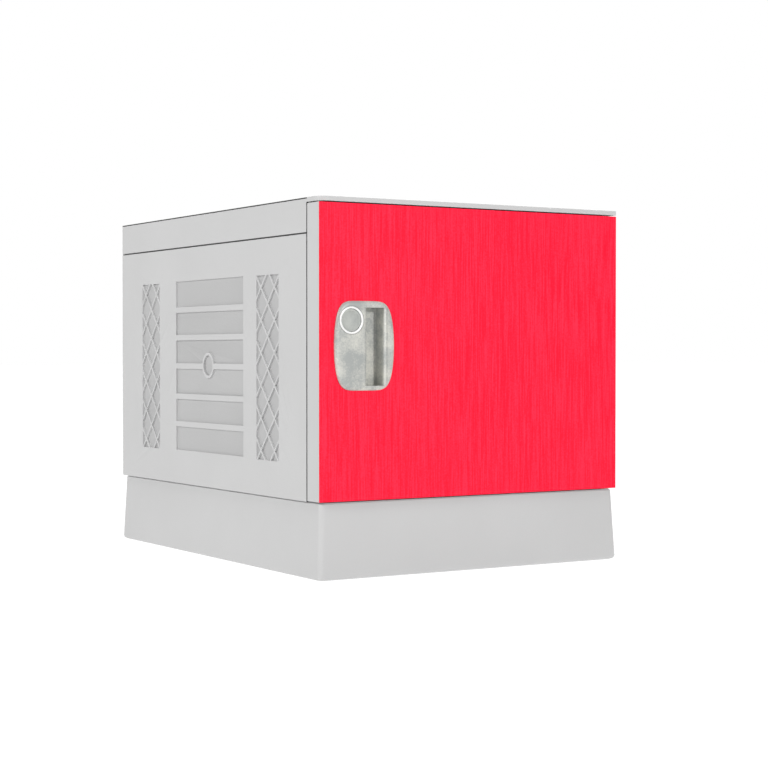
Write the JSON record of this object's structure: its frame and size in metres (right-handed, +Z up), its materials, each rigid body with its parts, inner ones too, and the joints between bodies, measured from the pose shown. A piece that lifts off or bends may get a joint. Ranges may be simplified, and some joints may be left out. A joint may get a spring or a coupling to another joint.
{
  "type": "phone charging locker",
  "caption": "Single moulded locker cell on a plinth for charging phones, with a hinged door, a finger-recess handle with a cam lock, and a charging outlet inside.",
  "frame": {"origin": "on the floor under the middle of the whole outline", "axes": "+X to the right along the door, +Y from the door to the back, +Z up"},
  "size_m": [0.384, 0.5084, 0.3903],
  "materials": {
    "moulded_grey": "fine-grained moulded ABS, light grey",
    "door_red": "bright red sheet with a fine vertical grain, satin",
    "cast_zinc": "satin die-cast zinc alloy with a pale finish",
    "bright_ring": "white enamel",
    "plated_steel": "zinc plated",
    "sheet_metal": "folded and punched sheet",
    "nylon": "natural nylon",
    "dark_rubber": "matt dark rubber",
    "black_plastic": "moulded black",
    "circuit_board": "green solder mask"
  },
  "bodies": {
    "cabinet": {"back_panel": "moulded_grey", "cap_screw_left": "plated_steel", "cap_screw_right": "plated_steel", "cap_seal": "dark_rubber", "charger_board": "circuit_board", "cover_screw_left": "plated_steel", "cover_screw_right": "plated_steel", "floor_panel": "moulded_grey", "inlet_screw_left": "plated_steel", "inlet_screw_right": "plated_steel", "left_door_seal": "dark_rubber", "left_edge_seal": "dark_rubber", "left_joint_plug": "moulded_grey", "left_side_panel": "moulded_grey", "lower_hinge_bush": "nylon", "outlet_cover": "moulded_grey", "outlet_housing": "moulded_grey", "outlet_screw_left": "plated_steel", "outlet_screw_right": "plated_steel", "plinth": "moulded_grey", "plinth_screw_back_left": "plated_steel", "plinth_screw_back_right": "plated_steel", "plinth_screw_front_left": "plated_steel", "plinth_screw_front_right": "plated_steel", "power_inlet": "black_plastic", "right_door_seal": "dark_rubber", "right_edge_seal": "dark_rubber", "right_joint_plug": "moulded_grey", "right_side_panel": "moulded_grey", "roof_panel": "moulded_grey", "strike_plate": "plated_steel", "strike_screw_lower": "plated_steel", "strike_screw_upper": "plated_steel", "supply_lid": "sheet_metal", "supply_screw_left": "plated_steel", "supply_screw_right": "plated_steel", "supply_tray": "sheet_metal", "top_cap": "moulded_grey", "upper_hinge_bush": "nylon", "usb_socket_left": "plated_steel", "usb_socket_right": "plated_steel", "wiring_grommet": "dark_rubber"},
    "door": {"door_shell": "moulded_grey", "door_front_sheet": "door_red", "handle_plate": "cast_zinc", "lock_ring": "bright_ring", "lock_barrel": "cast_zinc", "lock_nut": "cast_zinc", "upper_hinge_pin": "plated_steel", "lower_hinge_pin": "plated_steel", "handle_screw_lower": "plated_steel", "handle_screw_upper": "plated_steel"},
    "lock": {"lock_plug": "cast_zinc", "lock_cam": "plated_steel", "cam_screw": "plated_steel"}
  },
  "joints": [
    {"name": "door_swing", "type": "hinge", "parent": "cabinet", "child": "door", "pos_m": [0.18073, -0.23998, 0.08], "axis": [0, 0, 1], "range_deg": [0, 180]},
    {"name": "lock_turn", "type": "hinge", "parent": "door", "child": "lock", "pos_m": [-0.155, -0.22545, 0.2648], "axis": [0, 1, 0], "range_deg": [0, 90]}
  ]
}
